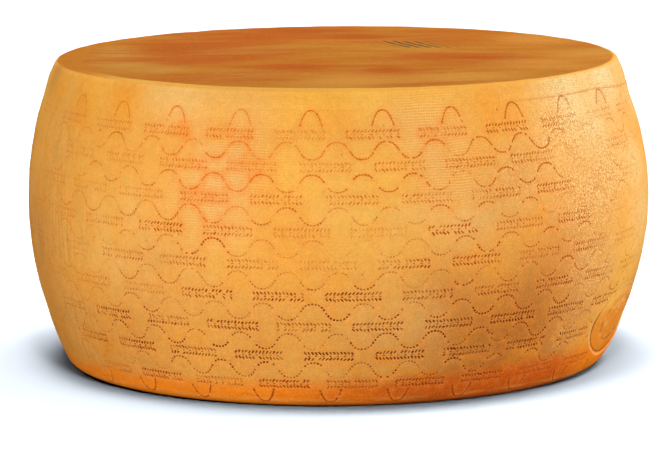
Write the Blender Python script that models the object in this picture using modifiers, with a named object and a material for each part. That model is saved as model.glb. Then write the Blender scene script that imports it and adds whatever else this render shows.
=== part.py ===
"""A whole wheel of hard, long-aged cheese: one solid drum with a bowed side.

Metres, +Z up.  The wheel rests on its flat base at z = 0, with the origin under the middle
of its bounding box.  The side's outline is one large arc, turned about the upright axis, with
a rounded corner to the top and a rounder one to the base.  A shallow fold left by the hoop
runs round below the top edge, deepest on the right, and an oval pad is pressed low into the
right flank.  The shape is then made slightly uneven, as a hand-turned wheel is.
"""
import math

import bmesh
import bpy
from mathutils import Vector

# Overall form
HEIGHT = 0.2115          # flat base to the level of the top
BARREL_ARC = 0.2130      # radius of the side's bowed outline
ARC_OFFSET = 0.0020      # how far that arc's centre lies off the wheel's axis
BELLY_Z = 0.1140         # height of the widest girth
TOP_ROUND = 0.0040       # rounding of the top's edge
BASE_ROUND = 0.0130      # rounding of the base's edge

# Where the side stands proud of the arc
COLLAR_FLARE = 0.0019    # smooth band at the top
COLLAR_START_Z = 0.1850
COLLAR_FULL_Z = 0.2075
FOOT_FLARE = 0.0018      # swell of the lowest part
FOOT_START_Z = 0.0480
FOOT_FULL_Z = 0.0100

# The fold that the hoop's edge left
FOLD_Z = 0.1990
FOLD_DEPTH = 0.0007
FOLD_HALF_WIDTH = 0.0016
FOLD_SLANT = 0.0062      # it sinks this far, or a little less, at the far right
FOLD_SLANT_START = 0.86  # cosines of the angles where it starts to sink and would stop
FOLD_SLANT_FULL = 1.04
FOLD_FAINTEST = 0.2      # share of its depth that is left on the far side
FOLD_DEEPEST_DEG = -12.0
FOLD_DRIFT_REACH = 0.0120

# The oval pad on the right flank
PAD_ANGLE_DEG = -18.2
PAD_Z = 0.0370
PAD_HALF_WIDTH = 0.0425
PAD_HALF_HEIGHT = 0.0245
PAD_RISE = 0.0003
PAD_DISH = 0.0016        # its lower half is pressed in by this much
PAD_DISH_REACH = 0.0120
PAD_GROOVE_DEPTH = 0.0009
PAD_GROOVE_HALF_WIDTH = 0.0022
PAD_EDGE_SOFTNESS = 0.0030
PAD_MARGIN = 1.25        # the finer mesh reaches this far past the pad, in half sizes
PAD_CUTS = 2

# Hand-made unevenness
BELLY_LEAN = 0.0018      # the belly leans this far to the right
LEAN_Z = 0.1180
LEAN_REACH = 0.0620
FOOT_LEAN = 0.0024       # the foot is fuller on the left by this much
FOOT_LEAN_REACH = 0.0070
COLLAR_LEAN = 0.0008     # the top's edge is fuller on the right by this much
TOP_TILT = 0.0002        # the right edge of the top is higher by this, the left one lower
SIDE_LUMP = 0.0004
TOP_LUMP = 0.0007
LUMP_EDGE_REACH = 0.0300

# Mesh density
SEGMENTS = 96
SIDE_RINGS = 21
FOLD_RING_OFFSETS = (-0.0045, -0.0020, 0.0, 0.0020, 0.0045)
TOP_CORNER_STEPS = 4
BASE_CORNER_STEPS = 5
TOP_RINGS = 7
BASE_RINGS = 2

COLLECTION_NAME = "hard_cheese_wheel"
NODE_NAME = "wheel"
RIND_COLOUR = (0.86, 0.42, 0.10, 1.0)
RIND_ROUGHNESS = 0.55
MERGE_DISTANCE = 0.00002


def clear_scene():
    for item in list(bpy.data.objects):
        bpy.data.objects.remove(item, do_unlink=True)


def smooth_step(low, high, value):
    share = min(1.0, max(0.0, (value - low) / (high - low)))
    return share * share * (3.0 - 2.0 * share)


def flare(z):
    """How far the outline stands proud of the plain arc at height z."""
    collar = COLLAR_FLARE * smooth_step(COLLAR_START_Z, COLLAR_FULL_Z, z)
    foot = FOOT_FLARE * smooth_step(FOOT_START_Z, FOOT_FULL_Z, z)
    return collar + foot


def side_radius(z):
    return ARC_OFFSET + math.sqrt((BARREL_ARC + flare(z)) ** 2 - (z - BELLY_Z) ** 2)


def corner(round_radius, centre_z, proud):
    """Centre radius of a corner's rounding, and the latitude where it meets the side."""
    reach = BARREL_ARC + proud - round_radius
    rise = centre_z - BELLY_Z
    return ARC_OFFSET + math.sqrt(reach ** 2 - rise ** 2), math.asin(rise / reach)


TOP_CORNER_RADIUS, TOP_LATITUDE = corner(TOP_ROUND, HEIGHT - TOP_ROUND, COLLAR_FLARE)
BASE_CORNER_RADIUS, BASE_LATITUDE = corner(BASE_ROUND, BASE_ROUND, FOOT_FLARE)
SIDE_TOP_Z = BELLY_Z + (BARREL_ARC + COLLAR_FLARE) * math.sin(TOP_LATITUDE)
SIDE_BASE_Z = BELLY_Z + (BARREL_ARC + FOOT_FLARE) * math.sin(BASE_LATITUDE)


def corner_points(centre_radius, centre_z, round_radius, start, stop, steps):
    """Points of one rounding from the angle start to stop, both ends included."""
    points = []
    for step in range(steps + 1):
        angle = start + (stop - start) * step / steps
        radius = centre_radius + round_radius * math.cos(angle)
        points.append((radius, centre_z + round_radius * math.sin(angle)))
    return points


def side_heights():
    """Heights of the side's rings, top to bottom, with closer rings at the fold."""
    fold_rings = [FOLD_Z + offset for offset in FOLD_RING_OFFSETS]
    low = math.asin((SIDE_BASE_Z - BELLY_Z) / BARREL_ARC)
    high = math.asin((fold_rings[0] - BELLY_Z) / BARREL_ARC)
    heights = []
    for ring in range(1, SIDE_RINGS):
        latitude = low + (high - low) * ring / SIDE_RINGS
        heights.append(BELLY_Z + BARREL_ARC * math.sin(latitude))
    return sorted(heights + fold_rings, reverse=True)


def profile_points():
    """The outline from the middle of the top, out and down the side, to the base's middle."""
    points = [(0.0, HEIGHT)]
    points += [(TOP_CORNER_RADIUS * ring / TOP_RINGS, HEIGHT) for ring in range(1, TOP_RINGS)]
    points += corner_points(TOP_CORNER_RADIUS, HEIGHT - TOP_ROUND, TOP_ROUND,
                            math.pi / 2, TOP_LATITUDE, TOP_CORNER_STEPS)
    points += [(side_radius(z), z) for z in side_heights()]
    points += corner_points(BASE_CORNER_RADIUS, BASE_ROUND, BASE_ROUND,
                            BASE_LATITUDE, -math.pi / 2, BASE_CORNER_STEPS)
    points += [(BASE_CORNER_RADIUS * ring / BASE_RINGS, 0.0)
               for ring in range(BASE_RINGS - 1, 0, -1)]
    points.append((0.0, 0.0))
    return points


def turned_mesh():
    """The profile turned about the upright axis by a Screw modifier, as a closed mesh."""
    points = profile_points()
    profile = bpy.data.meshes.new("profile")
    edges = [(index, index + 1) for index in range(len(points) - 1)]
    profile.from_pydata([(radius, 0.0, z) for radius, z in points], edges, [])
    turner = bpy.data.objects.new("profile", profile)
    bpy.context.scene.collection.objects.link(turner)
    screw = turner.modifiers.new("turn", "SCREW")
    screw.axis = "Z"
    screw.angle = math.tau
    screw.steps = SEGMENTS
    screw.render_steps = SEGMENTS
    screw.use_merge_vertices = True
    screw.merge_threshold = MERGE_DISTANCE
    evaluated = turner.evaluated_get(bpy.context.evaluated_depsgraph_get())
    mesh = bpy.data.meshes.new_from_object(evaluated)
    bpy.data.objects.remove(turner, do_unlink=True)
    return mesh


def pad_distance(angle, z):
    """Distance outside the oval pad's edge, about; negative on the pad."""
    across = (angle - math.radians(PAD_ANGLE_DEG)) * side_radius(PAD_Z)
    tilt = math.cos(math.asin((PAD_Z - BELLY_Z) / BARREL_ARC))
    along = (z - PAD_Z) / tilt
    share = math.hypot(across / PAD_HALF_WIDTH, along / PAD_HALF_HEIGHT)
    return (share - 1.0) * PAD_HALF_HEIGHT


def pad_relief(angle, z):
    """A low oval, raised above and pressed in below, with a soft groove round it."""
    distance = pad_distance(angle, z)
    inside = smooth_step(PAD_EDGE_SOFTNESS, -PAD_EDGE_SOFTNESS, distance)
    low = smooth_step(PAD_Z + PAD_DISH_REACH, PAD_Z - PAD_DISH_REACH, z)
    groove = PAD_GROOVE_DEPTH * math.exp(-(distance / PAD_GROOVE_HALF_WIDTH) ** 2)
    return (PAD_RISE - PAD_DISH * low) * inside - groove


def fold_strength(angle):
    swing = 0.5 + 0.5 * math.cos(angle - math.radians(FOLD_DEEPEST_DEG))
    return FOLD_FAINTEST + (1.0 - FOLD_FAINTEST) * swing ** 1.5


def fold_relief(angle, z):
    return -FOLD_DEPTH * fold_strength(angle) * math.exp(-((z - FOLD_Z) / FOLD_HALF_WIDTH) ** 2)


def fold_drift(angle, z):
    """The fold and the rings beside it sink along the side at the right of the wheel."""
    near = math.exp(-((z - FOLD_Z) / FOLD_DRIFT_REACH) ** 2) * smooth_step(HEIGHT, FOLD_Z, z)
    return -FOLD_SLANT * near * smooth_step(FOLD_SLANT_START, FOLD_SLANT_FULL, math.cos(angle))


def side_lump(angle, z):
    """Low swells round the side, a few to the turn."""
    turn = math.sin(2.0 * angle + 0.7 + 9.0 * z) + 0.7 * math.sin(3.0 * angle - 1.1 + 14.0 * z)
    return SIDE_LUMP * (turn + 0.45 * math.sin(5.0 * angle + 2.3 - 22.0 * z)) / 1.4


def top_lump(x, y, radius):
    """Low swells of the top, gone at its edge so that the corner stays crisp."""
    swell = math.sin(19.0 * x + 0.6) * math.cos(16.0 * y - 0.4) + 0.5 * math.sin(31.0 * (x + y))
    inside = smooth_step(0.0, LUMP_EDGE_REACH, TOP_CORNER_RADIUS - radius)
    return TOP_LUMP * swell * inside


def refine_pad(form):
    """Divide the faces under the oval pad, and put the new points back on the side's arc."""
    window = []
    for face in form.faces:
        middle = face.calc_center_median()
        angle = math.atan2(middle.y, middle.x) - math.radians(PAD_ANGLE_DEG)
        across = abs(angle) * side_radius(PAD_Z) / PAD_HALF_WIDTH
        along = abs(middle.z - PAD_Z) / PAD_HALF_HEIGHT
        outward = math.hypot(middle.x, middle.y) > BASE_CORNER_RADIUS
        if outward and across < PAD_MARGIN and along < PAD_MARGIN:
            window.append(face)
    edges = list({edge for face in window for edge in face.edges})
    cut = bmesh.ops.subdivide_edges(form, edges=edges, cuts=PAD_CUTS, use_grid_fill=True)
    for item in cut["geom_inner"]:
        if isinstance(item, bmesh.types.BMVert) and SIDE_BASE_Z < item.co.z < SIDE_TOP_Z:
            angle = math.atan2(item.co.y, item.co.x)
            radius = side_radius(item.co.z)
            item.co.x = radius * math.cos(angle)
            item.co.y = radius * math.sin(angle)


def uneven(point):
    """Where one point of the true turned form lies on the hand-made wheel."""
    radius = math.hypot(point.x, point.y)
    angle = math.atan2(point.y, point.x)
    on_side = SIDE_BASE_Z < point.z < SIDE_TOP_Z and radius > BASE_CORNER_RADIUS
    relief = pad_relief(angle, point.z) + fold_relief(angle, point.z) if on_side else 0.0
    latitude = math.atan2(point.z - BELLY_Z, radius - ARC_OFFSET)

    outward = side_lump(angle, point.z)
    outward -= FOOT_LEAN * math.exp(-point.z / FOOT_LEAN_REACH) * math.cos(angle)
    outward += COLLAR_LEAN * smooth_step(FOLD_Z, COLLAR_FULL_Z, point.z) * math.cos(angle)
    outward *= (radius / BARREL_ARC) ** 2
    outward += relief * math.cos(latitude)
    upward = relief * math.sin(latitude)
    if on_side:
        drift = fold_drift(angle, point.z)
        outward -= drift * math.sin(latitude)
        upward += drift * math.cos(latitude)
    upward += TOP_TILT * (point.x / TOP_CORNER_RADIUS) * smooth_step(0.0, HEIGHT, point.z)
    if point.z > HEIGHT - MERGE_DISTANCE:
        upward += top_lump(point.x, point.y, radius)
    lean = BELLY_LEAN * math.exp(-((point.z - LEAN_Z) / LEAN_REACH) ** 2)

    moved = Vector((math.cos(angle), math.sin(angle), 0.0)) * (radius + outward)
    moved.x += lean
    moved.z = point.z + upward
    return moved


def centre_over_origin(form):
    """Bring the middle of the bounding box over the origin, with the base left at z = 0."""
    for axis in (0, 1):
        places = [vertex.co[axis] for vertex in form.verts]
        middle = (min(places) + max(places)) / 2.0
        for vertex in form.verts:
            vertex.co[axis] -= middle


def rind_material():
    material = bpy.data.materials.new("rind")
    material.use_nodes = True
    shader = material.node_tree.nodes["Principled BSDF"]
    shader.inputs["Base Color"].default_value = RIND_COLOUR
    shader.inputs["Roughness"].default_value = RIND_ROUGHNESS
    shader.inputs["Metallic"].default_value = 0.0
    return material


def make_wheel(collection):
    mesh = turned_mesh()
    mesh.name = NODE_NAME
    form = bmesh.new()
    form.from_mesh(mesh)
    bmesh.ops.remove_doubles(form, verts=form.verts, dist=MERGE_DISTANCE)
    refine_pad(form)
    for vertex in form.verts:
        vertex.co = uneven(vertex.co)
    centre_over_origin(form)
    bmesh.ops.recalc_face_normals(form, faces=form.faces)
    form.to_mesh(mesh)
    form.free()
    mesh.shade_smooth()
    mesh.materials.append(rind_material())
    wheel = bpy.data.objects.new(NODE_NAME, mesh)
    collection.objects.link(wheel)
    return wheel


def main():
    clear_scene()
    collection = bpy.data.collections.new(COLLECTION_NAME)
    bpy.context.scene.collection.children.link(collection)
    make_wheel(collection)


main()
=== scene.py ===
import math
import random

import bmesh
import bpy
from mathutils import Matrix, Vector, geometry, kdtree, noise


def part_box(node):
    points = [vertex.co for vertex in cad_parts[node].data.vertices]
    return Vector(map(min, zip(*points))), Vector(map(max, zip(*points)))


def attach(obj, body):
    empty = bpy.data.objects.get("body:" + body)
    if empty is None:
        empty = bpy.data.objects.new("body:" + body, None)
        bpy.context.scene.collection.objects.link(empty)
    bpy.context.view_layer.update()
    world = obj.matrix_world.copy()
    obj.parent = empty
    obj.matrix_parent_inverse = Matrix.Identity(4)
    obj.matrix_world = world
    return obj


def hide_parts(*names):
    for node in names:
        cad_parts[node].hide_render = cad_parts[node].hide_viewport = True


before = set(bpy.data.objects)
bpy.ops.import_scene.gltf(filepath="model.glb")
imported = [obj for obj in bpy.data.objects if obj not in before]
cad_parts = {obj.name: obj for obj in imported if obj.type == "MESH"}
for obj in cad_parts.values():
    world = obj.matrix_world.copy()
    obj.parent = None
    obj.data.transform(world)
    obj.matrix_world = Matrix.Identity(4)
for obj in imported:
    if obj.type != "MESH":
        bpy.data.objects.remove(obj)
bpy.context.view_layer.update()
wheelLow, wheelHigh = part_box("wheel")
print("frame loaded, wheel", [round(side, 4) for side in wheelHigh - wheelLow])

# The drum, in metres: its height comes from the frame, the rest is the turner's drawing.
# The side is one large arc; "climb" is the way along the outline, up from the belly.
drum = {
    "topTilt": 0.0002,
    "tiltsToTop": 5.7,      # the frame's highest point lies this many tilts above the flat top
    "arc": 0.2130,
    "arcOffset": 0.0020,    # of the arc's centre from the wheel's axis
    "bellyZ": 0.1140,
    "topRound": 0.0040,
    "baseRound": 0.0130,
    "collarFlare": 0.0019,
    "collarStartZ": 0.1850,
    "collarFullZ": 0.2075,
    "footFlare": 0.0018,
    "footStartZ": 0.0480,
    "footFullZ": 0.0100,
    "bellyLean": 0.0018,    # the belly leans to the right, the foot to the left
    "leanZ": 0.1180,
    "leanReach": 0.0620,
    "footLean": 0.0024,
    "footLeanReach": 0.0070,
    "collarLean": 0.0008,
    "sideLump": 0.0004,
    # waves round the side: share, turns, where they start and how they twist with height
    "sideWaves": ((1.0, 2.0, 0.7, 9.0), (0.7, 3.0, -1.1, 14.0), (0.45, 5.0, 2.3, -22.0)),
    "sideWaveSum": 1.4,
    "topLump": 0.0007,
    "topWaves": (19.0, 16.0, 31.0),     # along x, along y and across
    "lumpEdgeReach": 0.0300,
    "pucker": 0.00025,      # small waves that the cloth and the turning leave
    "puckerSize": 0.016,
}
drum["height"] = wheelHigh.z - drum["topTilt"] * drum["tiltsToTop"]

# The fold under the top's edge and the oval pad on the right flank
fold = {
    "z": 0.1990,
    "depth": 0.0005,
    "halfWidth": 0.0011,
    "slant": 0.0062,              # it sinks this far at the right, between these cosines
    "slantCosines": (0.86, 1.04),
    "driftReach": 0.0120,         # how far above and below it the skin sinks along
    "faintest": 0.2,
    "deepestAngle": math.radians(-12.0),
}
pad = {
    "angle": math.radians(-18.2),
    "z": 0.0370,
    "halfWidth": 0.0425,
    "halfHeight": 0.0245,
    "rise": 0.0003,
    "dish": 0.0016,               # its lower half is pressed in by this much
    "dishReach": 0.0120,
    "grooveDepth": 0.0009,
    "grooveHalfWidth": 0.0012,
    "edgeSoftness": 0.0030,
    "innerScale": 0.62,           # of the second oval, whose line is fainter by this share
    "innerDepthShare": 0.6,
    "printClearance": 0.0030,     # no mark lies nearer to it than this
}


def smoothStep(low, high, value):
    share = min(1.0, max(0.0, (value - low) / (high - low)))
    return share * share * (3.0 - 2.0 * share)


def flare(z):
    # the side stands out a little at the collar and at the foot
    above = drum["collarFlare"] * smoothStep(drum["collarStartZ"], drum["collarFullZ"], z)
    below = drum["footFlare"] * smoothStep(drum["footStartZ"], drum["footFullZ"], z)
    return above + below


def cornerOf(rounding, centreZ, proud):
    # where a rounded corner touches the side's arc: its centre's radius and the arc's latitude
    reach = drum["arc"] + proud - rounding
    rise = centreZ - drum["bellyZ"]
    return drum["arcOffset"] + math.sqrt(reach ** 2 - rise ** 2), math.asin(rise / reach)


topCornerZ = drum["height"] - drum["topRound"]
topRadius, topLatitude = cornerOf(drum["topRound"], topCornerZ, drum["collarFlare"])
baseRadius, baseLatitude = cornerOf(drum["baseRound"], drum["baseRound"], drum["footFlare"])
sideTop = drum["arc"] * topLatitude             # climbs where the side meets the rounded corners
sideBase = drum["arc"] * baseLatitude
flatTop = sideTop + drum["topRound"] * (math.pi / 2 - topLatitude)
flatBase = sideBase - drum["baseRound"] * (math.pi / 2 + baseLatitude)
topCentre = flatTop + topRadius
baseCentre = flatBase - baseRadius


def outlineAt(climb):
    # radius, height and slope of the outline at a climb
    if climb > flatTop:
        return max(0.0, topCentre - climb), drum["height"], math.pi / 2
    if climb < flatBase:
        return max(0.0, climb - baseCentre), 0.0, -math.pi / 2
    if climb > sideTop:
        rounding = drum["topRound"]
        turn = topLatitude + (climb - sideTop) / rounding
        return topRadius + rounding * math.cos(turn), topCornerZ + rounding * math.sin(turn), turn
    if climb < sideBase:
        rounding = drum["baseRound"]
        turn = baseLatitude + (climb - sideBase) / rounding
        return baseRadius + rounding * math.cos(turn), rounding + rounding * math.sin(turn), turn
    turn = climb / drum["arc"]
    reach = drum["arc"] + flare(drum["bellyZ"] + drum["arc"] * math.sin(turn))
    return drum["arcOffset"] + reach * math.cos(turn), drum["bellyZ"] + reach * math.sin(turn), turn


def climbAt(z):
    # the climb of a height on the side
    return drum["arc"] * math.asin((z - drum["bellyZ"]) / drum["arc"])


def ringDistance(angle, z, scale):
    # distance outside an oval that shares the pad's centre; negative inside it
    padLatitude = climbAt(pad["z"]) / drum["arc"]
    turn = math.remainder(angle - pad["angle"], math.tau)
    across = turn * (drum["arcOffset"] + drum["arc"] * math.cos(padLatitude))
    along = (z - pad["z"]) / math.cos(padLatitude)
    share = math.hypot(across / pad["halfWidth"], along / pad["halfHeight"])
    return (share - scale) * pad["halfHeight"]


def padRelief(angle, z):
    edge = ringDistance(angle, z, 1.0)
    inner = ringDistance(angle, z, pad["innerScale"])
    inside = smoothStep(pad["edgeSoftness"], -pad["edgeSoftness"], edge)
    low = smoothStep(pad["z"] + pad["dishReach"], pad["z"] - pad["dishReach"], z)
    groove = pad["grooveDepth"] * math.exp(-(edge / pad["grooveHalfWidth"]) ** 2)
    line = pad["innerDepthShare"] * pad["grooveDepth"] * math.exp(-(inner / pad["grooveHalfWidth"]) ** 2)
    return (pad["rise"] - pad["dish"] * low) * inside - groove - line


def foldStrength(angle):
    swing = 0.5 + 0.5 * math.cos(angle - fold["deepestAngle"])
    return fold["faintest"] + (1.0 - fold["faintest"]) * swing ** 1.5


def foldRelief(angle, z):
    return -fold["depth"] * foldStrength(angle) * math.exp(-((z - fold["z"]) / fold["halfWidth"]) ** 2)


def foldDrift(angle, z):
    near = math.exp(-((z - fold["z"]) / fold["driftReach"]) ** 2)
    near *= smoothStep(drum["height"], fold["z"], z)
    return -fold["slant"] * near * smoothStep(*fold["slantCosines"], math.cos(angle))


def sideLump(angle, z):
    swell = 0.0
    for share, turns, start, twist in drum["sideWaves"]:
        swell += share * math.sin(turns * angle + start + twist * z)
    return drum["sideLump"] * swell / drum["sideWaveSum"]


def topLump(x, y, radius):
    alongX, alongY, across = drum["topWaves"]
    swell = math.sin(alongX * x + 0.6) * math.cos(alongY * y - 0.4) + 0.5 * math.sin(across * (x + y))
    return drum["topLump"] * swell * smoothStep(0.0, drum["lumpEdgeReach"], topRadius - radius)


def wrapRound(angle, climb, push):
    # a point of the unrolled rind, put round the hand-made wheel; push lifts it off the rind
    radius, z, slope = outlineAt(climb)
    x, y = radius * math.cos(angle), radius * math.sin(angle)
    pucker = drum["pucker"] * noise.noise(Vector((x, y, z)) / drum["puckerSize"])
    relief = push + pucker * smoothStep(0.0, 0.01, z)
    outward = sideLump(angle, z)
    outward -= drum["footLean"] * math.exp(-z / drum["footLeanReach"]) * math.cos(angle)
    outward += drum["collarLean"] * smoothStep(fold["z"], drum["collarFullZ"], z) * math.cos(angle)
    outward *= (radius / drum["arc"]) ** 2
    upward = drum["topTilt"] * (x / topRadius) * smoothStep(0.0, drum["height"], z)
    if sideBase < climb < sideTop:
        relief += padRelief(angle, z) + foldRelief(angle, z)
        drift = foldDrift(angle, z)
        outward -= drift * math.sin(slope)
        upward += drift * math.cos(slope)
    if climb > flatTop:
        upward += topLump(x, y, radius)
    outward += relief * math.cos(slope)
    upward += relief * math.sin(slope)
    lean = drum["bellyLean"] * math.exp(-((z - drum["leanZ"]) / drum["leanReach"]) ** 2)
    reach = radius + outward
    return Vector((reach * math.cos(angle) + lean, reach * math.sin(angle), max(0.0, z + upward)))


# The dotted print that the hoop presses into the side, in millimetres on the unrolled side:
# bands of dotted waves, with rows of dotted ears of grain between them.
marks = {
    "seed": 7,
    "rows": 9,
    "topRow": 70.6,
    "rowPitch": 21.3,
    "waveTurns": 40,
    "waveHalfHeight": 5.7,
    "waveSharpness": 1.2,
    "wavePoints": 32,
    "waveStrength": (0.55, 1.05),
    "dotPitch": (2.0, 2.45),      # in the top row, in the lowest row
    "dotLength": (1.75, 1.30),
    "dotWidth": (1.02, 1.15),
    "dotDepth": (0.35, 0.75),
    "powerJitter": (0.7, 1.15),
    "lengthJitter": (0.9, 1.08),
    "widthJitter": (0.85, 1.12),
    "faintWidth": 0.75,           # of a dash that has not taken; it gains up to the next share
    "widthGain": 0.4,
    "missing": 0.05,
    "taken": 0.78,                # how much of the print has taken where nothing changes it
    "takenMost": 1.25,
    "patchShare": 0.45,           # and how much that varies from patch to patch
    "patchSize": (60.0, 35.0),
    "gapChance": 0.55,            # how many of a wave's crossings are left open
    "gap": 0.05,                  # in turns of the wave
    "earsRound": 27,
    "leaves": (14, 15),
    "leafRise": 2.15,             # how far the leaves lie from the stem
    "leafPitch": 2.5,
    "leafLength": 2.5,
    "leafJitter": (0.8, 1.05),
    "leafWidth": 0.9,             # as a share of another dash's
    "leafSlant": (0.65, 1.15),
    "leafSway": 0.3,
    "earStrength": (0.6, 1.1),
    "stemDot": 1.3,
    "stemShare": 0.85,
    "stemWidth": 0.7,
    "rowShift": 0.34,             # each row of ears starts this share of a step further on
    "archRise": 0.5,              # above the top row, in pitches of the rows
    "archShift": 0.15,
    "cupDrop": 0.46,              # and of the cups below the lowest row
    "cupShift": 0.40,
    "archWidth": 15.5,
    "archHeight": 10.5,
    "archPoints": 40,
    "archRoundness": 2.4,
    "archStrength": (0.75, 1.05),
    "cupPitch": 2.6,              # the lowest cups are drawn almost without gaps
    "cupDash": 2.35,
    "pocks": 80,
    "pockSize": (0.8, 1.7),
    "pockWidth": (0.6, 0.9),      # its width and depth are shares of its length
    "pockDepth": 0.4,
    "pockPower": (0.2, 0.8),
    "pockEdge": 6.0,              # they stay this far below the top of the side
    "seamGap": 1.6,
}
arcMm = drum["arc"] * 1000.0
roundMm = math.tau * arcMm
startAngle = math.pi / 2          # the unrolled side starts and ends at the back


def unrolledAngle(along):
    angle = startAngle + along / arcMm
    return math.atan2(math.sin(angle), math.cos(angle))


def lowness(climb):
    # 0 in the top row of marks, 1 in the lowest
    span = marks["rowPitch"] * (marks["rows"] - 1)
    return min(1.0, max(0.0, (marks["topRow"] - climb) / span))


def between(pair, share):
    return pair[0] + (pair[1] - pair[0]) * share


# Where the print has taken worse or better: turn, climb, how far it reaches each way, change
prints = [
    (-160, 0, 26, 400, -0.46),
    (-131, -5, 13, 50, -0.16),
    (-7, 0, 15, 400, -0.68),
    (-26, -20, 10, 45, -0.15),
    (-70, 52, 13, 40, 0.40),
    (-54, 42, 12, 50, 0.30),
    (-101, -10, 13, 13, -0.28),
    (-84, 6, 12, 20, -0.22),
    (-116, -50, 14, 20, -0.12),
    (-100, -88, 40, 15, 0.15),
    (-116, 8, 9, 32, 0.30),
    (-132, -56, 9, 22, 0.32),
    (-146, 40, 14, 60, 0.20),
    (-120, -78, 16, 14, 0.60),
    (-55, -72, 17, 15, 0.45),
    (-42, -52, 10, 14, 0.30),
    (-75, -62, 10, 14, 0.25),
    (-24, 46, 10, 18, 0.20),
    (-101, -34, 9, 12, 0.30),
    (-55, -34, 10, 16, 0.30),
    (-38, 38, 12, 40, -0.34),
    (-70, 18, 9, 14, -0.25),
    (-24, 78, 10, 12, 0.50),
    (25, 20, 24, 60, -0.35),
    (88, -30, 30, 40, -0.30),
    (140, 40, 26, 50, -0.45),
]


def wear(along, climb):
    # how much of the print has taken here
    angle = math.degrees(unrolledAngle(along))
    taken = marks["taken"]
    for turn, middle, turnReach, climbReach, change in prints:
        around = math.remainder(angle - turn, 360.0) / turnReach
        taken += change * math.exp(-around ** 2 - ((climb - middle) / climbReach) ** 2)
    patchLength, patchHeight = marks["patchSize"]
    patch = noise.noise(Vector((along / patchLength, climb / patchHeight, 3.0)))
    return min(marks["takenMost"], max(0.0, taken * (1.0 + marks["patchShare"] * patch)))


def pressDash(along, climb, heading, strength, chance, length=None, widthShare=1.0):
    # one dash of the print: short, wide, deep and dark in the lower rows
    low = lowness(climb)
    power = min(1.0, strength * wear(along, climb) * chance.uniform(*marks["powerJitter"]))
    width = between(marks["dotWidth"], low) * widthShare
    width *= marks["faintWidth"] + marks["widthGain"] * power
    return {
        "along": along,
        "climb": climb,
        "heading": heading,
        "length": (length or between(marks["dotLength"], low)) * chance.uniform(*marks["lengthJitter"]),
        "width": width * chance.uniform(*marks["widthJitter"]),
        "depth": between(marks["dotDepth"], low) * power,
        "power": power,
    }


def dashesAlong(path, strength, chance, pitch=None, length=None):
    # dashes at an even pitch along a path of points, with a few left out
    dashes = []
    travelled = 0.0
    pitch = pitch or between(marks["dotPitch"], lowness(path[0][1]))
    due = pitch * 0.5
    for (x0, y0), (x1, y1) in zip(path, path[1:]):
        step = math.hypot(x1 - x0, y1 - y0)
        while travelled + step >= due:
            share = (due - travelled) / step
            due += pitch
            if chance.random() > marks["missing"]:
                along, climb = x0 + (x1 - x0) * share, y0 + (y1 - y0) * share
                heading = math.atan2(y1 - y0, x1 - x0)
                dashes.append(pressDash(along, climb, heading, strength, chance, length))
        travelled += step
    return dashes


def waveBand(middle, shift, chance):
    # a wave all round, drawn one half turn at a time, with some of its crossings left open
    dashes = []
    step = roundMm / marks["waveTurns"]
    sharp = marks["waveSharpness"]
    last = marks["wavePoints"]
    for half in range(2 * marks["waveTurns"]):
        path = []
        gap = marks["gap"] if chance.random() < marks["gapChance"] else 0.0
        for point in range(last + 1):
            turn = between((gap - 0.25, 0.25 - gap), point / last) + half / 2.0
            swing = math.tanh(sharp * math.cos(math.tau * turn)) / math.tanh(sharp)
            path.append(((turn - shift) * step, middle + marks["waveHalfHeight"] * swing))
        dashes += dashesAlong(path, chance.uniform(*marks["waveStrength"]), chance)
    return dashes


def archRow(middle, flip, shift, chance, pitch=None, length=None):
    # single arches, or cups if flipped, one for each ear
    dashes = []
    step = roundMm / marks["earsRound"]
    last = marks["archPoints"]
    for arch in range(marks["earsRound"]):
        path = []
        for point in range(last + 1):
            swing = point / (last / 2.0) - 1.0
            rise = (0.5 - abs(swing) ** marks["archRoundness"]) * marks["archHeight"]
            path.append(((arch + shift) * step + swing * marks["archWidth"] / 2.0, middle + flip * rise))
        dashes += dashesAlong(path, chance.uniform(*marks["archStrength"]), chance, pitch, length)
    return dashes


def earRow(middle, shift, chance):
    # ears of grain lying on their side: slanted leaves in pairs along a dotted stem
    dashes = []
    step = roundMm / marks["earsRound"]
    for ear in range(marks["earsRound"]):
        heading = 1.0 if ear % 2 == 0 else -1.0
        strength = chance.uniform(*marks["earStrength"])
        leaves = chance.randint(*marks["leaves"])
        for leaf in range(leaves):
            offset = (leaf + 0.5 - leaves / 2.0) * marks["leafPitch"]
            along = (ear + shift) * step + heading * offset
            for side in (-1.0, 1.0):
                if chance.random() > marks["missing"]:
                    sway = chance.uniform(-marks["leafSway"], marks["leafSway"])
                    climb = middle + side * marks["leafRise"] + sway
                    slant = side * heading * chance.uniform(*marks["leafSlant"])
                    length = marks["leafLength"] * chance.uniform(*marks["leafJitter"])
                    width = marks["leafWidth"]
                    dashes.append(pressDash(along, climb, slant, strength, chance, length, width))
            if leaf % 2 == 0:
                fainter, width = strength * marks["stemShare"], marks["stemWidth"]
                dashes.append(pressDash(along, middle, 0.0, fainter, chance, marks["stemDot"], width))
    return dashes


def pockMarks(chance):
    # small pocks, scattered at random
    pocks = []
    for _ in range(marks["pocks"]):
        along = chance.uniform(0.0, roundMm)
        climb = chance.uniform(sideBase * 1000.0, sideTop * 1000.0 - marks["pockEdge"])
        pock = pressDash(along, climb, chance.uniform(0.0, math.pi), 1.0, chance)
        pock["length"] = chance.uniform(*marks["pockSize"])
        pock["width"] = pock["length"] * chance.uniform(*marks["pockWidth"])
        pock["depth"] = marks["pockDepth"] * pock["length"]
        pock["power"] = chance.uniform(*marks["pockPower"])
        pocks.append(pock)
    return pocks


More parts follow.
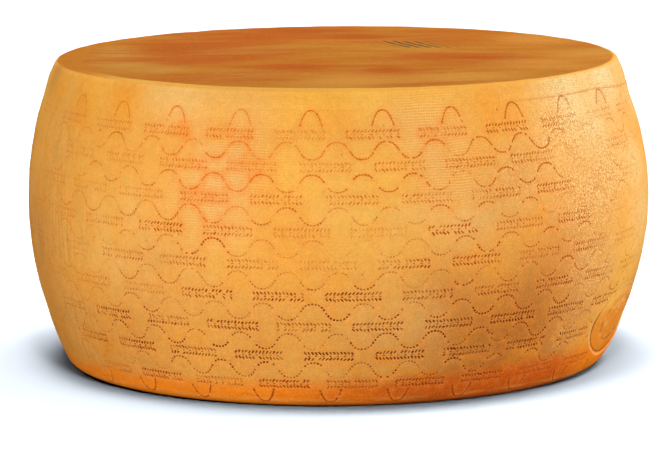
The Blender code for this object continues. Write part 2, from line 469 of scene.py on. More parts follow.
def drawnMarks():
    # rows of ears with waves between them, arches above the top row and cups below the lowest
    chance = random.Random(marks["seed"])
    pitch = marks["rowPitch"]
    dashes = []
    for row in range(marks["rows"]):
        middle = marks["topRow"] - row * pitch
        dashes += earRow(middle, row * marks["rowShift"], chance)
        if row < marks["rows"] - 1:
            dashes += waveBand(middle - pitch / 2.0, row * 0.5, chance)
    dashes += archRow(marks["topRow"] + pitch * marks["archRise"], 1.0, marks["archShift"], chance)
    lowest = marks["topRow"] - (marks["rows"] - 1) * pitch
    lowest -= pitch * marks["cupDrop"]
    dashes += archRow(lowest, -1.0, marks["cupShift"], chance, marks["cupPitch"], marks["cupDash"])
    return dashes + pockMarks(chance)


def allMarks():
    # what is drawn, but for the seam and the pad
    kept = []
    for dash in drawnMarks():
        dash["along"] %= roundMm
        fromSeam = min(dash["along"], roundMm - dash["along"])
        z = drum["bellyZ"] + drum["arc"] * math.sin(dash["climb"] / arcMm)
        fromPad = ringDistance(unrolledAngle(dash["along"]), z, 1.0)
        if fromSeam > marks["seamGap"] and fromPad > pad["printClearance"]:
            kept.append(dash)
    print("marks", len(kept))
    return kept


# How fine the unrolled side is cut between the marks, in millimetres
sheet = {
    "spacing": 6.2,
    "rowShare": 0.866,            # rows lie closer than points, so that triangles are even
    "edgeColumns": 240,
    "clearance": 1.9,             # between the net and the marks
    "closeClearance": 0.7,        # between the closer rows and the marks
    "haloEdge": 0.5,
    "haloReach": 2.9,             # how far a mark's stain spreads
    "foldRows": (-3.2, -1.9, -1.1, -0.5, 0.0, 0.5, 1.1, 1.9, 3.2),
    "foldSpacing": 5.0,
    "footRows": (1.0, -1.0, -3.0, -5.0, -7.0, -8.6),
    "footEdge": -9.8,             # the sheet ends this far below the foot of the side
    "footSpacing": 4.0,
    "padRings": (-2.6, -1.5, -0.8, 0.0, 0.8, 1.5, 2.6),
    "padSpacing": 2.6,
    "topRings": (5, 14),          # round the corner, and over the flat
    "baseRings": (2, 6),
}
sheetTop = sideTop * 1000.0
sheetBase = sideBase * 1000.0 + sheet["footEdge"]


def pointRows(climbs, spacing):
    # rows of points all round, each row half a step on from the last
    columns = int(roundMm / spacing)
    points = []
    for row, climb in enumerate(climbs):
        for column in range(1, columns):
            points.append(((column + 0.5 * (row % 2)) * roundMm / columns, climb))
    return points


def padPoints():
    # rings of points along the pad's two grooves
    points = []
    padClimb = climbAt(pad["z"]) * 1000.0
    padAlong = (pad["angle"] - startAngle) % math.tau * arcMm
    stretch = drum["arc"] / (drum["arcOffset"] + drum["arc"] * math.cos(padClimb / arcMm))
    for scale in (1.0, pad["innerScale"]):
        for ring, offset in enumerate(sheet["padRings"]):
            halfHeight = pad["halfHeight"] * 1000.0 * scale + offset
            halfWidth = halfHeight * pad["halfWidth"] / pad["halfHeight"]
            count = int(math.pi * (halfWidth + halfHeight) / sheet["padSpacing"])
            for index in range(count):
                turn = math.tau * (index + 0.5 * (ring % 2)) / count
                along = padAlong + halfWidth * stretch * math.cos(turn)
                points.append((along, padClimb + halfHeight * math.sin(turn)))
    return points


def closerPoints():
    foldClimb = climbAt(fold["z"]) * 1000.0
    points = pointRows([foldClimb + row for row in sheet["foldRows"]], sheet["foldSpacing"])
    points += pointRows([sideBase * 1000.0 + row for row in sheet["footRows"]], sheet["footSpacing"])
    return points + padPoints()


def fillerPoints(tree):
    # an even net of points, left out where a mark or a closer point already lies
    points = []
    pitch = sheet["spacing"]
    rows = int((sheetTop - sheetBase) / (pitch * sheet["rowShare"]))
    columns = int(roundMm / pitch)
    for row in range(1, rows):
        climb = sheetBase + (sheetTop - sheetBase) * row / rows
        for column in range(columns):
            along = (column + 0.25 + 0.5 * (row % 2)) * roundMm / columns
            inside = pitch * 0.4 < along < roundMm - pitch * 0.4
            if inside and tree.find((along, climb, 0.0))[2] > sheet["clearance"]:
                points.append((along, climb))
    return points


def edgePoints():
    points = []
    columns = sheet["edgeColumns"]
    for column in range(columns + 1):
        points += [(roundMm * column / columns, climb) for climb in (sheetBase, sheetTop)]
    rows = int((sheetTop - sheetBase) / sheet["spacing"])
    for row in range(1, rows):
        climb = sheetBase + (sheetTop - sheetBase) * row / rows
        points += [(0.0, climb), (roundMm, climb)]
    return points


def treeOf(points):
    tree = kdtree.KDTree(len(points))
    for index, (along, climb) in enumerate(points):
        tree.insert((along, climb, 0.0), index)
    tree.balance()
    return tree


def pitPoints(dash):
    # the four corners of a pit's rim and the middle of its floor
    stretch = 1.0 / math.cos(dash["climb"] / arcMm)     # the side is narrower away from the belly
    turn = Matrix.Rotation(dash["heading"], 2)
    points = []
    for x, y in ((1, 1), (-1, 1), (-1, -1), (1, -1), (0, 0)):
        corner = turn @ Vector((x * dash["length"] / 2.0, y * dash["width"] / 2.0))
        points.append((dash["along"] + corner.x * stretch, dash["climb"] + corner.y))
    return points


def fillPoints(points, markTree):
    # the points of the sheet that belong to no mark
    closer = []
    for point in closerPoints():
        if markTree.find((*point, 0.0))[2] > sheet["closeClearance"]:
            closer.append(point)
    return closer + fillerPoints(treeOf(points + closer)) + edgePoints()


def stainedHalos(dashes, filler, markTree):
    # how strongly each point is stained by the mark that is nearest to it
    halos = [dash["power"] for dash in dashes for _ in range(5)]
    for point in filler:
        _, index, distance = markTree.find((*point, 0.0))
        halos.append(halos[index] * smoothStep(sheet["haloReach"], sheet["haloEdge"], distance))
    return halos


def unrolledSide():
    # the whole side as one flat, triangulated sheet with every mark's rim and pit in it
    dashes = allMarks()
    points = [point for dash in dashes for point in pitPoints(dash)]
    rims = [tuple(range(5 * index, 5 * index + 4)) for index in range(len(dashes))]
    markTree = treeOf(points)
    filler = fillPoints(points, markTree)
    halos = stainedHalos(dashes, filler, markTree)
    pushes = [0.0] * (len(points) + len(filler))
    pushes[4:len(points):5] = [-dash["depth"] / 1000.0 for dash in dashes]
    flat = [Vector(point) for point in points + filler]
    cut = geometry.delaunay_2d_cdt(flat, [], rims, 0, 1e-4, True)
    verts, _, faces, fromVerts, _, fromFaces = cut
    form = bmesh.new()
    push = form.verts.layers.float.new("push")
    halo = form.verts.layers.float.new("halo")
    mark = form.faces.layers.float.new("mark")
    corners = []
    for place, sources in zip(verts, fromVerts):
        corner = form.verts.new((place.x, place.y, 0.0))
        corner[push] = min((pushes[source] for source in sources), default=0.0)
        corner[halo] = max((halos[source] for source in sources), default=0.0)
        corners.append(corner)
    for loop, sources in zip(faces, fromFaces):
        face = form.faces.new([corners[index] for index in loop])
        face.smooth = not sources
        face[mark] = dashes[sources[0]]["power"] if sources else 0.0
    print("unrolled side:", len(verts), "points,", len(faces), "triangles")
    return form


def liesAt(edge, climb):
    return all(abs(corner.co.y - climb) < 1e-3 for corner in edge.verts)


def growRings(form, climbs):
    # rings of quads added above or below the sheet, out to the middle of the top or the base
    edges = [edge for edge in form.edges if edge.is_boundary and liesAt(edge, climbs[0])]
    for last, climb in zip(climbs, climbs[1:]):
        grown = bmesh.ops.extrude_edge_only(form, edges=edges)["geom"]
        corners = [item for item in grown if isinstance(item, bmesh.types.BMVert)]
        bmesh.ops.translate(form, verts=corners, vec=(0.0, climb - last, 0.0))
        edges = [item for item in grown if isinstance(item, bmesh.types.BMEdge) and liesAt(item, climb)]


def ringClimbs(start, corner, centre, rings):
    # the rings' climbs, in millimetres: round the corner, then over the flat
    cornerRings, flatRings = rings
    climbs = [start + (corner - start) * ring / cornerRings for ring in range(cornerRings + 1)]
    climbs += [corner + (centre - corner) * ring / flatRings for ring in range(1, flatRings + 1)]
    return [1000.0 * climb for climb in climbs]


def tint(red, green, blue):
    # a colour read off a screen, made linear for a shader
    def linear(part):
        part /= 255.0
        return part / 12.92 if part <= 0.04045 else ((part + 0.055) / 1.055) ** 2.4
    return Vector((linear(red), linear(green), linear(blue), 1.0))


# The pigments of the rind
pigment = {
    "gold": tint(242, 172, 74),
    "yellow": tint(246, 186, 76),
    "orange": tint(245, 158, 46),
    "cream": tint(246, 198, 120),
    "pink": tint(245, 180, 104),
    "dull": tint(220, 156, 80),
    "brown": tint(206, 132, 58),
    # the side's gold darkens towards the foot: painted shade for the lower flank, which faces down
    "shadedLowGold": tint(224, 150, 66),
    # the top's tones are browner and darker than the side's: partly the top's own colour, partly painted
    # shade for the dimmer light on the top
    "topGold": tint(206, 124, 26),
    "topPale": tint(214, 150, 60),
    "topOrange": tint(200, 86, 8),
    "topRed": tint(196, 74, 2),
    "topDeep": tint(188, 76, 4),
    "topLight": tint(230, 156, 60),
    "topRim": tint(210, 127, 28),
    # a brighter copy of the collar's gold for the top's corner and front edge: partly painted light
    "litEdgeGold": tint(252, 186, 78),
    "sunny": tint(255, 187, 72),
    "umber": tint(180, 100, 28),
    "lowPatch": tint(226, 140, 30),
    "ivory": tint(248, 226, 168),
    "base": tint(206, 124, 48),
    "milk": tint(244, 214, 146),
    "rusty": tint(250, 156, 66),
}

# Spots where the skin of the side differs: turn in degrees with the front at -90, height, reach,
# tone and its strength, and the habits of the skin there
sideSpots = [
    (-134, 0.200, 0.034, "orange", 0.9),
    (-147, 0.194, 0.028, "orange", 0.8),
    (-125, 0.192, 0.026, "orange", 0.7),
    (-144, 0.212, 0.026, "sunny", 0.5),
    (-118, 0.186, 0.024, "rusty", 0.5, {"stained": 0.6}),
    (-160, 0.199, 0.026, "orange", 0.6),
    # the brown and umber spots at -168 and -178 darken the far left flank: painted shade where it turns
    # away from the lamps
    (-168, 0.207, 0.030, "brown", 0.8),
    (-178, 0.155, 0.048, "umber", 0.45),
    (-178, 0.105, 0.048, "umber", 0.45),
    (-122, 0.209, 0.050, "cream", 0.55),
    (-104, 0.208, 0.040, "cream", 0.4),
    (-91, 0.196, 0.030, "orange", 0.8),
    (-73, 0.190, 0.040, "pink", 0.7, {"ribbed": 1.0, "stained": 0.4}),
    (-70, 0.160, 0.045, "pink", 0.4, {"ribbed": 1.0}),
    (-107, 0.168, 0.045, "pink", 0.5, {"ribbed": 1.0, "stained": 0.7}),
    (-113, 0.142, 0.048, "pink", 0.6, {"ribbed": 0.9, "stained": 0.8}),
    (-155, 0.165, 0.055, "dull", 0.5, {"streaked": 0.6, "grainy": 0.2}),
    (-150, 0.110, 0.055, "dull", 0.4, {"streaked": 1.0, "grainy": 0.25}),
    (-163, 0.100, 0.060, "brown", 0.7, {"streaked": 1.0, "grainy": 0.22}),
    (-150, 0.045, 0.055, "dull", 0.5, {"streaked": 1.0, "grainy": 0.25}),
    (-98, 0.116, 0.045, "orange", 0.5, {"stained": 0.3}),
    (-86, 0.135, 0.045, "yellow", 0.5),
    (-97, 0.160, 0.045, "sunny", 0.6),
    (-82, 0.162, 0.035, "sunny", 0.5),
    (-124, 0.092, 0.050, "dull", 0.5),
    (-64, 0.126, 0.045, "dull", 0.7),
    (-68, 0.130, 0.038, "cream", 0.4),
    (-127, 0.130, 0.035, "cream", 0.3),
    (-56, 0.150, 0.045, "dull", 0.6, {"grainy": 0.3}),
    (-58, 0.192, 0.030, "orange", 0.7),
    (-69, 0.074, 0.050, "brown", 0.8),
    (-78, 0.055, 0.045, "dull", 0.4),
    (-52, 0.060, 0.078, "umber", 0.85),
    (-60, 0.032, 0.058, "umber", 0.8),
    (-46, 0.095, 0.060, "brown", 0.65),
    (-42, 0.036, 0.050, "umber", 0.5),
    (-69, 0.036, 0.042, "umber", 0.4),
    (-96, 0.034, 0.050, "gold", 0.5),
    (-116, 0.036, 0.050, "gold", 0.6),
    (-96, 0.212, 0.036, "sunny", 0.9),
    (-84, 0.209, 0.030, "sunny", 0.9),
    (-72, 0.212, 0.036, "sunny", 0.5),
    (-33, 0.026, 0.035, "orange", 0.5),
    # the milk, ivory and cream spots on the right flank are partly the rind's paler tone and partly a
    # painted sheen where the lamps glance off it
    (-40, 0.193, 0.022, "milk", 0.8, {"ribbed": 0.6, "grainy": 0.4}),
    (-34, 0.174, 0.030, "milk", 0.7, {"ribbed": 0.6, "grainy": 0.9}),
    (-30, 0.150, 0.050, "cream", 0.3, {"grainy": 1.0}),
    (-42, 0.178, 0.050, "cream", 0.3, {"grainy": 1.0}),
    (-40, 0.212, 0.040, "milk", 0.6, {"ribbed": 0.8, "grainy": 0.8}),
    (-24, 0.207, 0.056, "ivory", 0.68, {"ribbed": 0.7, "grainy": 0.9}),
    (-8, 0.196, 0.044, "cream", 0.7, {"grainy": 0.9}),
    (-27, 0.052, 0.036, "yellow", 0.6),
    (-22, 0.082, 0.040, "yellow", 0.7),
    (-19, 0.150, 0.040, "cream", 0.8, {"grainy": 0.8}),
    (-15, 0.112, 0.055, "cream", 0.9, {"grainy": 0.6}),
    (-38, 0.135, 0.060, "dull", 0.3, {"grainy": 0.9}),
    (-36, 0.085, 0.060, "dull", 0.5, {"grainy": 0.6}),
    (-40, 0.045, 0.045, "dull", 0.2, {"grainy": 0.35}),
]
# and on the top: x, y, reach, tone and its strength
topSpots = [
    (-0.080, 0.120, 0.085, "topRed", 0.7),
    (-0.020, 0.160, 0.060, "topDeep", 0.7),
    (0.017, 0.120, 0.050, "topDeep", 0.8),
    (0.070, 0.110, 0.060, "topRed", 0.6),
    (-0.120, 0.050, 0.075, "topDeep", 0.6),
    (-0.065, 0.030, 0.070, "topRed", 0.7),
    (-0.095, -0.020, 0.060, "topRed", 0.5),
    (-0.160, 0.045, 0.034, "topPale", 1.0),
    (-0.145, -0.045, 0.040, "topPale", 1.0),
    (-0.155, 0.005, 0.036, "topPale", 1.0),
    (-0.118, -0.080, 0.036, "topPale", 0.8),
    (-0.070, -0.120, 0.050, "topPale", 0.6),
    (-0.026, -0.068, 0.050, "topRed", 0.7),
    (0.030, -0.078, 0.035, "topRed", 0.8),
    (0.055, -0.020, 0.045, "topOrange", 0.7),
    (0.100, -0.020, 0.055, "topRed", 0.8),
    (0.145, 0.085, 0.055, "topLight", 1.0),
    (0.180, 0.000, 0.060, "topLight", 0.9),
    (0.145, -0.060, 0.060, "topLight", 0.9),
    (0.090, -0.125, 0.065, "topLight", 0.9),
    (0.010, -0.145, 0.065, "topLight", 0.8),
]
# How ribbed, grainy, streaked and stained round its marks the skin is away from all spots
habits = {"ribbed": 0.12, "grainy": 0.15, "streaked": 0.1, "stained": 0.15}
habitGain = 1.3
backSpots = {
    "seed": 5,
    "count": 34,
    "turns": (0.0, 188.0),
    "heights": (0.015, 0.205),
    "reaches": (0.030, 0.060),
    "tones": ("orange", "cream", "pink", "dull", "yellow", "brown"),
    "strengths": (0.3, 0.8),
    "amounts": (0.4, 1.0),
}
toning = {
    "topEdge": 0.0012,            # the top's colours start this far below its flat
    # between these heights the side's gold darkens into its painted shade towards the foot
    "lowGoldHeights": (0.11, 0.03),
    "padReach": 0.02,
}


def scatteredSpots():
    # the side that the photo does not show is as uneven as the front
    chance = random.Random(backSpots["seed"])
    scattered = []
    for _ in range(backSpots["count"]):
        turn, z = chance.uniform(*backSpots["turns"]), chance.uniform(*backSpots["heights"])
        reach, tone = chance.uniform(*backSpots["reaches"]), chance.choice(backSpots["tones"])
        strength, amount = chance.uniform(*backSpots["strengths"]), chance.uniform(*backSpots["amounts"])
        scattered.append((turn, z, reach, tone, strength, {chance.choice(list(habits)): amount}))
    return scattered


def placedSpots():
    # all spots with their centres in space, for the side and for the top
    side, top = [], []
    for turn, z, *values in sideSpots + scatteredSpots():
        side.append((wrapRound(math.radians(turn), min(sideTop, climbAt(z)), 0.0), *values))
    for x, y, *values in topSpots:
        top.append((Vector((x, y, drum["height"])), *values))
    return side, top


spotsOnSide, spotsOnTop = placedSpots()


def skinAt(place, climb):
    # tone and habits of the skin at a point
    onTop = climb > flatTop - toning["topEdge"]
    if onTop:
        tone = pigment["topGold"].copy()
    elif climb < flatBase:
        tone = pigment["base"].copy()
    else:
        tone = pigment["gold"].lerp(pigment["shadedLowGold"], smoothStep(*toning["lowGoldHeights"], place.z))
    found = dict(habits)
    for centre, reach, name, strength, *more in spotsOnTop if onTop else spotsOnSide:
        distance = (place - centre).length
        if distance < reach:
            share = smoothStep(reach, 0.0, distance)
            tone = tone.lerp(pigment[name], share * strength)
            for habit, amount in (more[0] if more else {}).items():
                found[habit] = max(found[habit], share * amount * habitGain)
    found["padEdge"] = min(toning["padReach"], ringDistance(math.atan2(place.y, place.x), place.z, 1.0))
    return tone, found


# The layout that the finish is baked on, in millimetres: the side in three rows, the top and the
# base beside them
bakeLayout = {
    "size": 742.0,
    "margin": 6.0,
    "rows": 3,
    "discScale": 0.70,
}


def bakePlace(along, climb, middle):
    # where a corner goes, of a face whose middle is given
    margin = bakeLayout["margin"]
    rowLength = roundMm / bakeLayout["rows"]
    discColumn = rowLength + 2.0 * margin
    scale = bakeLayout["discScale"]
    topReach = (topCentre * 1000.0 - sheetTop) * scale
    baseReach = (sheetBase - baseCentre * 1000.0) * scale
    if sheetBase < middle[1] < sheetTop:
        row = int(middle[0] / rowLength)
        x = along - row * rowLength + margin
        y = climb - sheetBase + margin + row * (sheetTop - sheetBase + margin)
        return x / bakeLayout["size"], y / bakeLayout["size"]
    if middle[1] > 0.0:
        reach = (topCentre * 1000.0 - climb) * scale
        discMiddle = margin + topReach
    else:
        reach = (climb - baseCentre * 1000.0) * scale
        discMiddle = 2.0 * margin + 2.0 * topReach + baseReach
    angle = along / arcMm
    x = discColumn + topReach + reach * math.cos(angle)
    y = discMiddle + reach * math.sin(angle)
    return x / bakeLayout["size"], y / bakeLayout["size"]


def addMaps(form):
    # one map in metres along the unrolled rind, one for the bake
    rindMap = form.loops.layers.uv.new("rindMap")
    bakeMap = form.loops.layers.uv.new("OFBake")
    for face in form.faces:
        middle = face.calc_center_median()
        for loop in face.loops:
            along, climb = loop.vert.co.x, loop.vert.co.y
            loop[rindMap].uv = (along / 1000.0, climb / 1000.0)
            loop[bakeMap].uv = bakePlace(along, climb, middle)


def dressCorners(form):
    # put every corner of the sheet round the wheel and note the skin's tone and habits there
    push = form.verts.layers.float["push"]
    toneLayer = form.verts.layers.float_color.new("tone")
    layers = {habit: form.verts.layers.float.new(habit) for habit in (*habits, "padEdge")}
    for corner in form.verts:
        along, climb = corner.co.x, corner.co.y / 1000.0
        corner.co = wrapRound(startAngle + along / arcMm, climb, corner[push])
        corner[toneLayer], found = skinAt(corner.co, climb)
        for habit, layer in layers.items():
            corner[layer] = found[habit]


def centreOnNode(mesh):
    # the lumps push the middle a little to one side of the CAD node's
    for axis in (0, 1):
        places = [corner.co[axis] for corner in mesh.vertices]
        off = (min(places) + max(places)) / 2.0 - (wheelLow[axis] + wheelHigh[axis]) / 2.0
        mesh.transform(Matrix.Translation([-off if index == axis else 0.0 for index in range(3)]))


def makeWheel():
    form = unrolledSide()
    growRings(form, ringClimbs(sideTop, flatTop, topCentre, sheet["topRings"]))
    growRings(form, ringClimbs(sheetBase / 1000.0, flatBase, baseCentre, sheet["baseRings"]))
    addMaps(form)
    dressCorners(form)
    bmesh.ops.remove_doubles(form, verts=form.verts, dist=1e-5)
    bmesh.ops.recalc_face_normals(form, faces=form.faces)
    triangles = sum(len(face.verts) - 2 for face in form.faces)
    mesh = bpy.data.meshes.new("cheeseWheel")
    form.to_mesh(mesh)
    form.free()
    wheel = bpy.data.objects.new("cheeseWheel", mesh)
    bpy.context.scene.collection.objects.link(wheel)
    centreOnNode(mesh)
    print("wheel:", triangles, "triangles")
    return wheel


wheel = makeWheel()
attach(wheel, "root")
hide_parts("wheel")


# The finish of the rind, drawn as a tree of shader nodes
rindPaint = bpy.data.materials.new("rind")
rindPaint.use_nodes = True
nodeTree = rindPaint.node_tree


def addNode(kind, inputs, **settings):
    made = nodeTree.nodes.new("ShaderNode" + kind)
    for setting, value in settings.items():
        setattr(made, setting, value)
    for socket, value in inputs.items():
        if isinstance(value, bpy.types.NodeSocket):
            nodeTree.links.new(value, made.inputs[socket])
        else:
            made.inputs[socket].default_value = value
    return made


def calc(operation, first, second=0.0):
    return addNode("Math", {0: first, 1: second}, operation=operation).outputs[0]


def less(value, taken):
    return calc("SUBTRACT", value, taken)


def total(first, *more):
    for value in more:
        first = calc("ADD", first, value)
    return first


def product(first, *more):
    for value in more:
        first = calc("MULTIPLY", first, value)
    return first


def over(colour, tone, *shares):
    # a tone laid over a colour, as far as the product of its shares says
    return addNode("Mix", {0: product(*shares), 6: colour, 7: tone}, data_type="RGBA").outputs[2]


def shade(colour, brightness):
    # brighter or darker by a number that varies over the surface
    return addNode("VectorMath", {0: colour, 3: brightness}, operation="SCALE").outputs[0]


def ease(value, low, high):
    # 0 below low, 1 above high, smooth between; low may be the larger one
    inputs = {0: value, 1: low, 2: high, 3: 0.0, 4: 1.0}
    return addNode("MapRange", inputs, interpolation_type="SMOOTHSTEP").outputs[0]


def cloud(place, size, detail=3.0, roughness=0.55):
    inputs = {"Vector": place, "Scale": 1.0 / size, "Detail": detail, "Roughness": roughness}
    return addNode("TexNoise", inputs).outputs[0]


def stretched(place, stretch):
    return addNode("Mapping", {"Vector": place, "Scale": stretch}).outputs[0]


def bell(value, centre, halfWidth):
    # a soft band round centre
    away = calc("ABSOLUTE", less(value, centre))
    return ease(away, halfWidth, 0.0)


# The rind's grain, ribs and gloss; sizes in metres
rind = {
    "broadSize": 0.070,
    "patchSize": 0.028,
    "fineSize": 0.0055,
    "fineHeight": 0.0005,
    "grainSize": 0.0011,
    "grainHeight": 0.00016,
    "ribPitch": 0.00178,
    "ribHeight": 0.00008,
    "ribSway": 0.004,
    "weftShare": 0.35,
    "ribLimits": (0.30, 0.60),
    "streakSize": 0.0022,
    "streakStretch": (1.0, 0.06, 1.0),
    "streakHeight": 0.00006,
    # the ribs lighten and darken the colour along each rib: painted highlight and shade, besides their
    # bump
    "ribLightAndShade": 0.14,             # how much each of these lightens and darkens the colour
    "streakShade": 0.72,
    "mottleShade": 0.24,
    "powderShade": 0.21,
    "roughness": (0.46, 0.60),
    "bandGloss": 0.16,
    "topRoughness": 0.85,
    "specular": 0.10,
    "topFade": (0.0035, 0.0005),      # the top's finish grows between these, below its flat
}


def readSkin():
    # what the rind is painted from: places, heights and the attributes of the mesh
    place = addNode("TexCoord", {}).outputs["Object"]
    unrolled = addNode("UVMap", {}, uv_map="rindMap").outputs[0]
    x, y, height = addNode("SeparateXYZ", {0: place}).outputs
    across, climb, _ = addNode("SeparateXYZ", {0: unrolled}).outputs
    found = {
        "place": place,
        "unrolled": unrolled,
        "x": x,
        "y": y,
        "height": height,
        "across": across,
        "climb": climb,
        "tone": addNode("Attribute", {}, attribute_name="tone").outputs["Color"],
        "broad": cloud(place, rind["broadSize"], 4.0),
        "patches": cloud(place, rind["patchSize"], 4.0),
        "fine": cloud(place, rind["fineSize"]),
        "grain": cloud(place, rind["grainSize"], 2.0, 0.7),
    }
    for name in ("mark", "halo", "padEdge", *habits):
        found[name] = addNode("Attribute", {}, attribute_name=name).outputs["Fac"]
    found["onTop"] = ease(climb, *[flatTop - below for below in rind["topFade"]])
    found["onSide"] = less(1.0, found["onTop"])
    return found


skin = readSkin()


# Clouds of pigment on the side: noise, where it is none and full, tone, share and heights
clouds = [
    ("broad", (0.50, 0.70), "cream", 0.30, (0.020, 0.080)),
    ("broad", (0.50, 0.32), "orange", 0.30, None),
    ("patches", (0.52, 0.70), "orange", 0.35, None),
    ("patches", (0.50, 0.36), "lowPatch", 0.60, (0.065, 0.025)),
]


def paintClouds(colour):
    for noiseName, limits, tone, strength, heights in clouds:
        share = product(ease(skin[noiseName], *limits), skin["onSide"], strength)
        if heights:
            share = product(share, ease(skin["height"], *heights))
        colour = over(colour, pigment[tone], share)
    return colour


# Long streaks on the flat top, and its rims
topFinish = {
    "streaks": [                  # stretch along x, size, roughness, share
        (0.35, 0.034, 0.5, 0.72),
        (0.14, 0.008, 0.6, 0.28),
    ],
    "orangeLimits": (0.48, 0.64),
    "orangeShare": 0.55,
    "calmX": (0.06, 0.15),        # where the orange streaks fade to the right, and by how much
    "calming": 0.30,
    "paleLimits": (0.52, 0.36),
    "paleShare": 0.45,
    "brownX": (-0.10, -0.18),     # the brown rim at the left
    "brownWidth": 0.018,
    "brownSoftness": 0.004,
    "brownShare": 0.85,
    # the gold laid over the front edge is a brighter copy of the collar's, partly painted light; where
    # it lies:
    "goldY": (-0.02, -0.09),      # the collar's gold, which runs over the front edge
    "goldX": (0.12, -0.02),
    "goldLeftX": (-0.18, -0.13),
    "goldWidth": 0.007,
    "goldSoftness": 0.0008,
    # how much the rounded corner is painted lighter, as a painted highlight
    "cornerPaintedLight": 0.12,
}


def paintTop(colour):
    layers = []
    for stretch, size, roughness, share in topFinish["streaks"]:
        drawn = stretched(skin["place"], (stretch, 1.0, 1.0))
        layers.append(product(cloud(drawn, size, 3.0, roughness), share))
    streaks = total(*layers)
    calm = product(ease(skin["x"], *topFinish["calmX"]), -topFinish["calming"])
    calm = total(calm, topFinish["orangeShare"])
    share = ease(streaks, *topFinish["orangeLimits"])
    colour = over(colour, pigment["topOrange"], share, skin["onTop"], calm)
    share = ease(streaks, *topFinish["paleLimits"])
    return over(colour, pigment["topPale"], share, skin["onTop"], topFinish["paleShare"])


def paintRims(colour):
    # the top's rim is brown at the left; at the front the collar's gold runs over it in a brighter copy,
    # partly the collar's own colour and partly painted light for the dimmer light on the top's edge
    inward = less(skin["climb"], flatTop)
    uneven = total(skin["patches"], 0.5)
    width = product(ease(skin["x"], *topFinish["brownX"]), uneven, topFinish["brownWidth"])
    rim = ease(less(inward, width), 0.0, -topFinish["brownSoftness"])
    colour = over(colour, pigment["topRim"], rim, skin["onTop"], topFinish["brownShare"])
    width = product(ease(skin["y"], *topFinish["goldY"]), uneven, topFinish["goldWidth"])
    width = product(width, ease(skin["x"], *topFinish["goldX"]))
    softness = topFinish["goldSoftness"]
    rim = ease(less(inward, width), softness, -softness)
    left = ease(skin["x"], *topFinish["goldLeftX"])
    colour = over(colour, pigment["litEdgeGold"], rim, ease(skin["climb"], sideTop, flatTop), left)
    # the rounded corner is painted lighter all round: a painted highlight where its slope turns from the
    # lamps
    corner = bell(skin["climb"], (sideTop + flatTop) / 2.0, flatTop - sideTop)
    return shade(colour, total(product(corner, topFinish["cornerPaintedLight"]), 1.0))


ink = {
    "colour": tint(74, 36, 0),
    "ground": tint(222, 156, 66),
    "groundShare": 0.55,
    "first": 0.0550,              # x of the first stroke where y is 0
    "shake": 0.0050,
    "pitch": 0.0072,
    "count": 7,
    "near": 0.040,
    "far": 0.087,
    "endSoftness": 0.003,
    "skew": 0.40,
    "share": 0.54,                # of the pitch that a stroke covers
    "darkness": 0.9,
    "wornLimits": (0.20, 0.44),
    "startSteps": (-0.3, 1.6),
    "fadeFrom": 0.4,              # of the count
    "strokeEdges": (0.08, -0.04),
}


def paintInk(colour):
    # tally strokes on the top, fading to the right
    slanted = total(skin["x"], product(skin["y"], ink["skew"]))
    shaky = total(product(skin["patches"], ink["shake"]), ink["first"])
    steps = product(less(slanted, shaky), 1.0 / ink["pitch"])
    inStroke = ease(calc("FRACT", steps), *[ink["share"] + edge for edge in ink["strokeEdges"]])
    started = ease(steps, *ink["startSteps"])
    fading = ease(steps, ink["count"], ink["count"] * ink["fadeFrom"])
    nearEnd = ease(skin["y"], ink["near"], ink["near"] + ink["endSoftness"])
    farEnd = ease(skin["y"], ink["far"], ink["far"] - ink["endSoftness"])
    worn = ease(skin["fine"], *ink["wornLimits"])
    written = product(started, fading, nearEnd, farEnd, skin["onTop"])
    colour = over(colour, ink["ground"], written, ink["groundShare"])
    return over(colour, ink["colour"], inStroke, written, worn, ink["darkness"])


foldLine = {
    "colour": tint(222, 130, 20),
    "below": 0.0003,
    "halfWidth": 0.0012,
    "strongX": (0.08, 0.16),
    "strength": 0.66,
    "least": 0.04,
}


def paintFold(colour):
    # the thin line of the fold, strongest on the right
    line = bell(skin["climb"], climbAt(fold["z"]) - foldLine["below"], foldLine["halfWidth"])
    strength = product(ease(skin["x"], *foldLine["strongX"]), foldLine["strength"])
    return over(colour, foldLine["colour"], line, total(strength, foldLine["least"]))


foot = {
    "band": tint(252, 130, 10),
    "bandRed": tint(208, 82, 2),
    "bandTilt": -0.035,
    "bandTop": 0.0255,
    "bandFade": 0.0140,
    "bandWobble": 0.010,
    "bandShare": 0.93,
    "redX": (0.02, 0.16),         # the band turns red between these, and gold again after them
    "redEndX": (0.172, 0.142),
    "redWobble": 0.2,
    "streakStretch": (0.12, 1.0, 1.0),
    "streakSize": 0.004,
    "streakShade": 0.35,
    # a painted highlight along the lip of the rounded foot: its colour, height, half width, where it
    # shows and how strongly
    "lip": tint(246, 160, 70),
    "lipHighlightHeight": 0.0050,
    "lipHighlightHalfWidth": 0.0026,
    "lipHighlightLimits": (0.30, 0.60),
    "lipHighlightShare": 0.55,
}


def footBand():
    # where the band is, with an uneven upper edge that sinks to the right
    wobble = product(less(skin["patches"], 0.5), foot["bandWobble"])
    lifted = total(skin["height"], wobble, product(skin["x"], foot["bandTilt"]))
    return ease(lifted, foot["bandTop"], foot["bandTop"] - foot["bandFade"])


